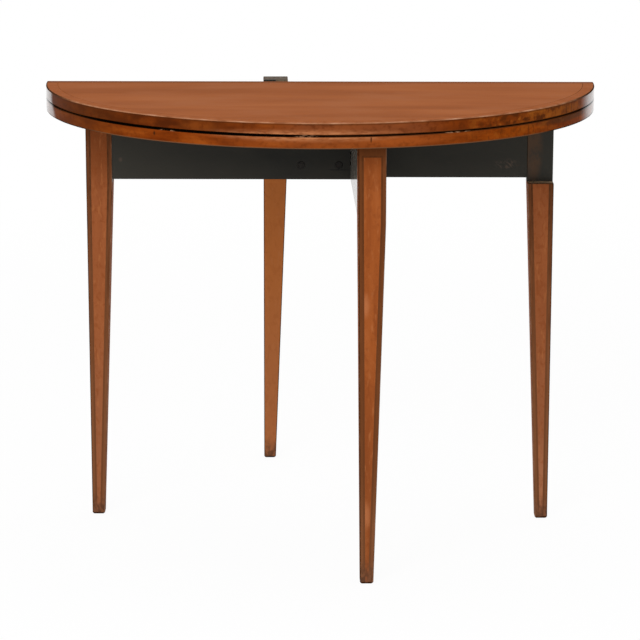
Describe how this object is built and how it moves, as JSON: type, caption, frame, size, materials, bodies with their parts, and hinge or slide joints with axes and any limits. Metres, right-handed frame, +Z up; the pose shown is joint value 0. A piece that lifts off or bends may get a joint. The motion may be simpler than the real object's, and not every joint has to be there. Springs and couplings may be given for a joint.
{
  "type": "card table",
  "caption": "Half-round card table: a leaf folds over a fixed leaf on brass end hinges, above lapped rails with knuckle-jointed swinging gates and square tapered legs.",
  "frame": {"origin": "on the floor under the middle of the standing table's box, gates open and top folded", "axes": "+X to the right along the straight back edge, +Y from the round front to the back, +Z up"},
  "size_m": [0.9, 0.8078, 0.737],
  "materials": {
    "polished_top": "polished reddish-brown veneer with a crossbanded edge",
    "polished_leg": "polished orange-brown wood with dark stringing",
    "ebonised_rail": "near-black stained wood, semi-matte",
    "dowel_wood": "stained end grain",
    "old_iron": "dull dark iron",
    "old_brass": "tarnished brass"
  },
  "bodies": {
    "frame": {"lower_leaf": "polished_top", "left_rail": "ebonised_rail", "right_rail": "ebonised_rail", "left_leg": "polished_leg", "right_leg": "polished_leg", "left_lower_lap_dowel": "dowel_wood", "left_upper_lap_dowel": "dowel_wood", "right_lower_lap_dowel": "dowel_wood", "right_upper_lap_dowel": "dowel_wood", "front_knuckle_pin": "old_iron", "rear_knuckle_pin": "old_iron", "left_inner_top_screw": "old_iron", "left_outer_top_screw": "old_iron", "right_inner_top_screw": "old_iron", "right_outer_top_screw": "old_iron", "left_hinge_lower_plate": "old_brass", "right_hinge_lower_plate": "old_brass", "left_hinge_pin": "old_brass", "right_hinge_pin": "old_brass", "left_hinge_lower_back_screw": "old_brass", "left_hinge_lower_front_screw": "old_brass", "right_hinge_lower_back_screw": "old_brass", "right_hinge_lower_front_screw": "old_brass"},
    "front_gate": {"front_gate_rail": "ebonised_rail", "front_leg": "polished_leg"},
    "rear_gate": {"rear_gate_rail": "ebonised_rail", "rear_leg": "polished_leg"},
    "folding_leaf": {"upper_leaf": "polished_top", "left_hinge_upper_plate": "old_brass", "right_hinge_upper_plate": "old_brass", "left_hinge_upper_back_screw": "old_brass", "left_hinge_upper_front_screw": "old_brass", "right_hinge_upper_back_screw": "old_brass", "right_hinge_upper_front_screw": "old_brass"}
  },
  "joints": [
    {"name": "front_gate_swing", "type": "hinge", "parent": "frame", "child": "front_gate", "pos_m": [0.0606, 0.01274, 0.6387], "axis": [0, 0, 1], "range_deg": [0, 88.85]},
    {"name": "rear_gate_swing", "type": "hinge", "parent": "frame", "child": "rear_gate", "pos_m": [-0.0606, 0.03439, 0.6387], "axis": [0, 0, 1], "range_deg": [0, 88.85]},
    {"name": "leaf_fold", "type": "hinge", "parent": "frame", "child": "folding_leaf", "pos_m": [0, 0.04607, 0.717], "axis": [-1, 0, 0], "range_deg": [0, 180]}
  ]
}
